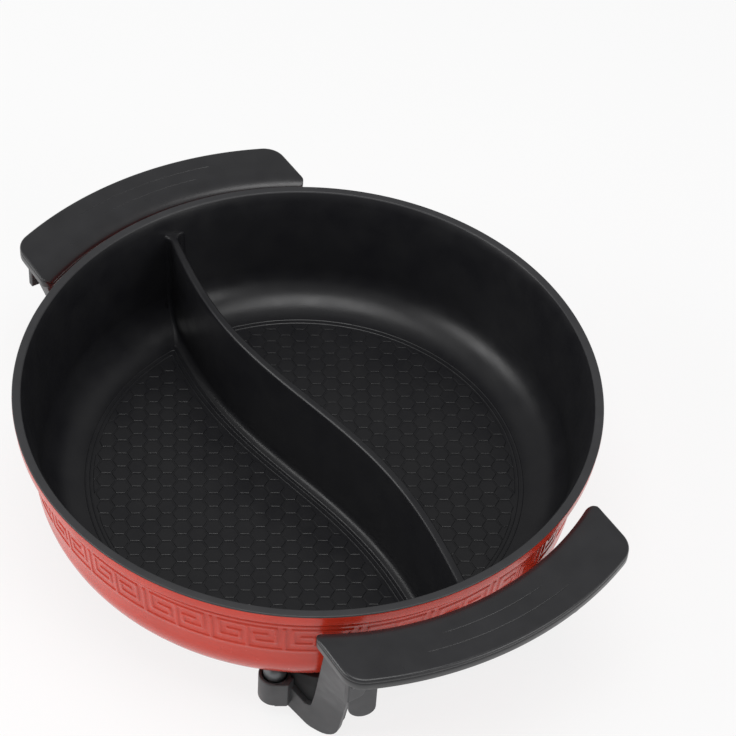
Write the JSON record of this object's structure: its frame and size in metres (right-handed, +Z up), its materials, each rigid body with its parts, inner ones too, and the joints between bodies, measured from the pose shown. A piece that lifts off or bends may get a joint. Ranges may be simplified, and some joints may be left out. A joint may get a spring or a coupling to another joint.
{
  "type": "electric hot pot",
  "caption": "Round electric hot pot pan split by an S-shaped divider, with crescent handles on slanted legs and an underside heater.",
  "frame": {"origin": "on the ground plane under the pot's vertical axis", "axes": "+X along the line of the two handles, towards the handle over the inlet; +Z up"},
  "size_m": [0.385, 0.31, 0.1085],
  "materials": {
    "enamelled_pan": "gloss",
    "handle_plastic": "satin",
    "underside_plastic": "matte",
    "leg_plastic": "satin",
    "boss_aluminium": "satin",
    "screw_steel": "satin",
    "heater_sheath": "matte",
    "zinc_steel": "satin",
    "shield_steel": "satin",
    "sensor_steel": "satin",
    "inlet_plastic": "matte",
    "contact_brass": "satin",
    "bush_ceramic": "matte"
  },
  "bodies": {
    "root": {"pan": "enamelled_pan", "wing_near": "handle_plastic", "wing_far": "handle_plastic", "wing_cover_near": "underside_plastic", "wing_cover_far": "underside_plastic", "leg_near_left": "leg_plastic", "leg_near_right": "leg_plastic", "leg_far_left": "leg_plastic", "leg_far_right": "leg_plastic", "spacer_near_left": "boss_aluminium", "spacer_near_right": "boss_aluminium", "spacer_far_left": "boss_aluminium", "spacer_far_right": "boss_aluminium", "leg_screws": "screw_steel", "wing_screws": "screw_steel", "heater": "heater_sheath", "strap_left": "zinc_steel", "strap_right": "zinc_steel", "strap_far": "zinc_steel", "strap_screws": "screw_steel", "heat_shield": "shield_steel", "shield_screws": "screw_steel", "sensor_tube": "sensor_steel", "sensor_block": "boss_aluminium", "block_screws": "screw_steel", "inlet_housing": "inlet_plastic", "inlet_screws": "screw_steel", "pin_left": "contact_brass", "pin_right": "contact_brass", "bush_left": "bush_ceramic", "bush_right": "bush_ceramic", "earth_strip": "contact_brass"}
  },
  "joints": []
}
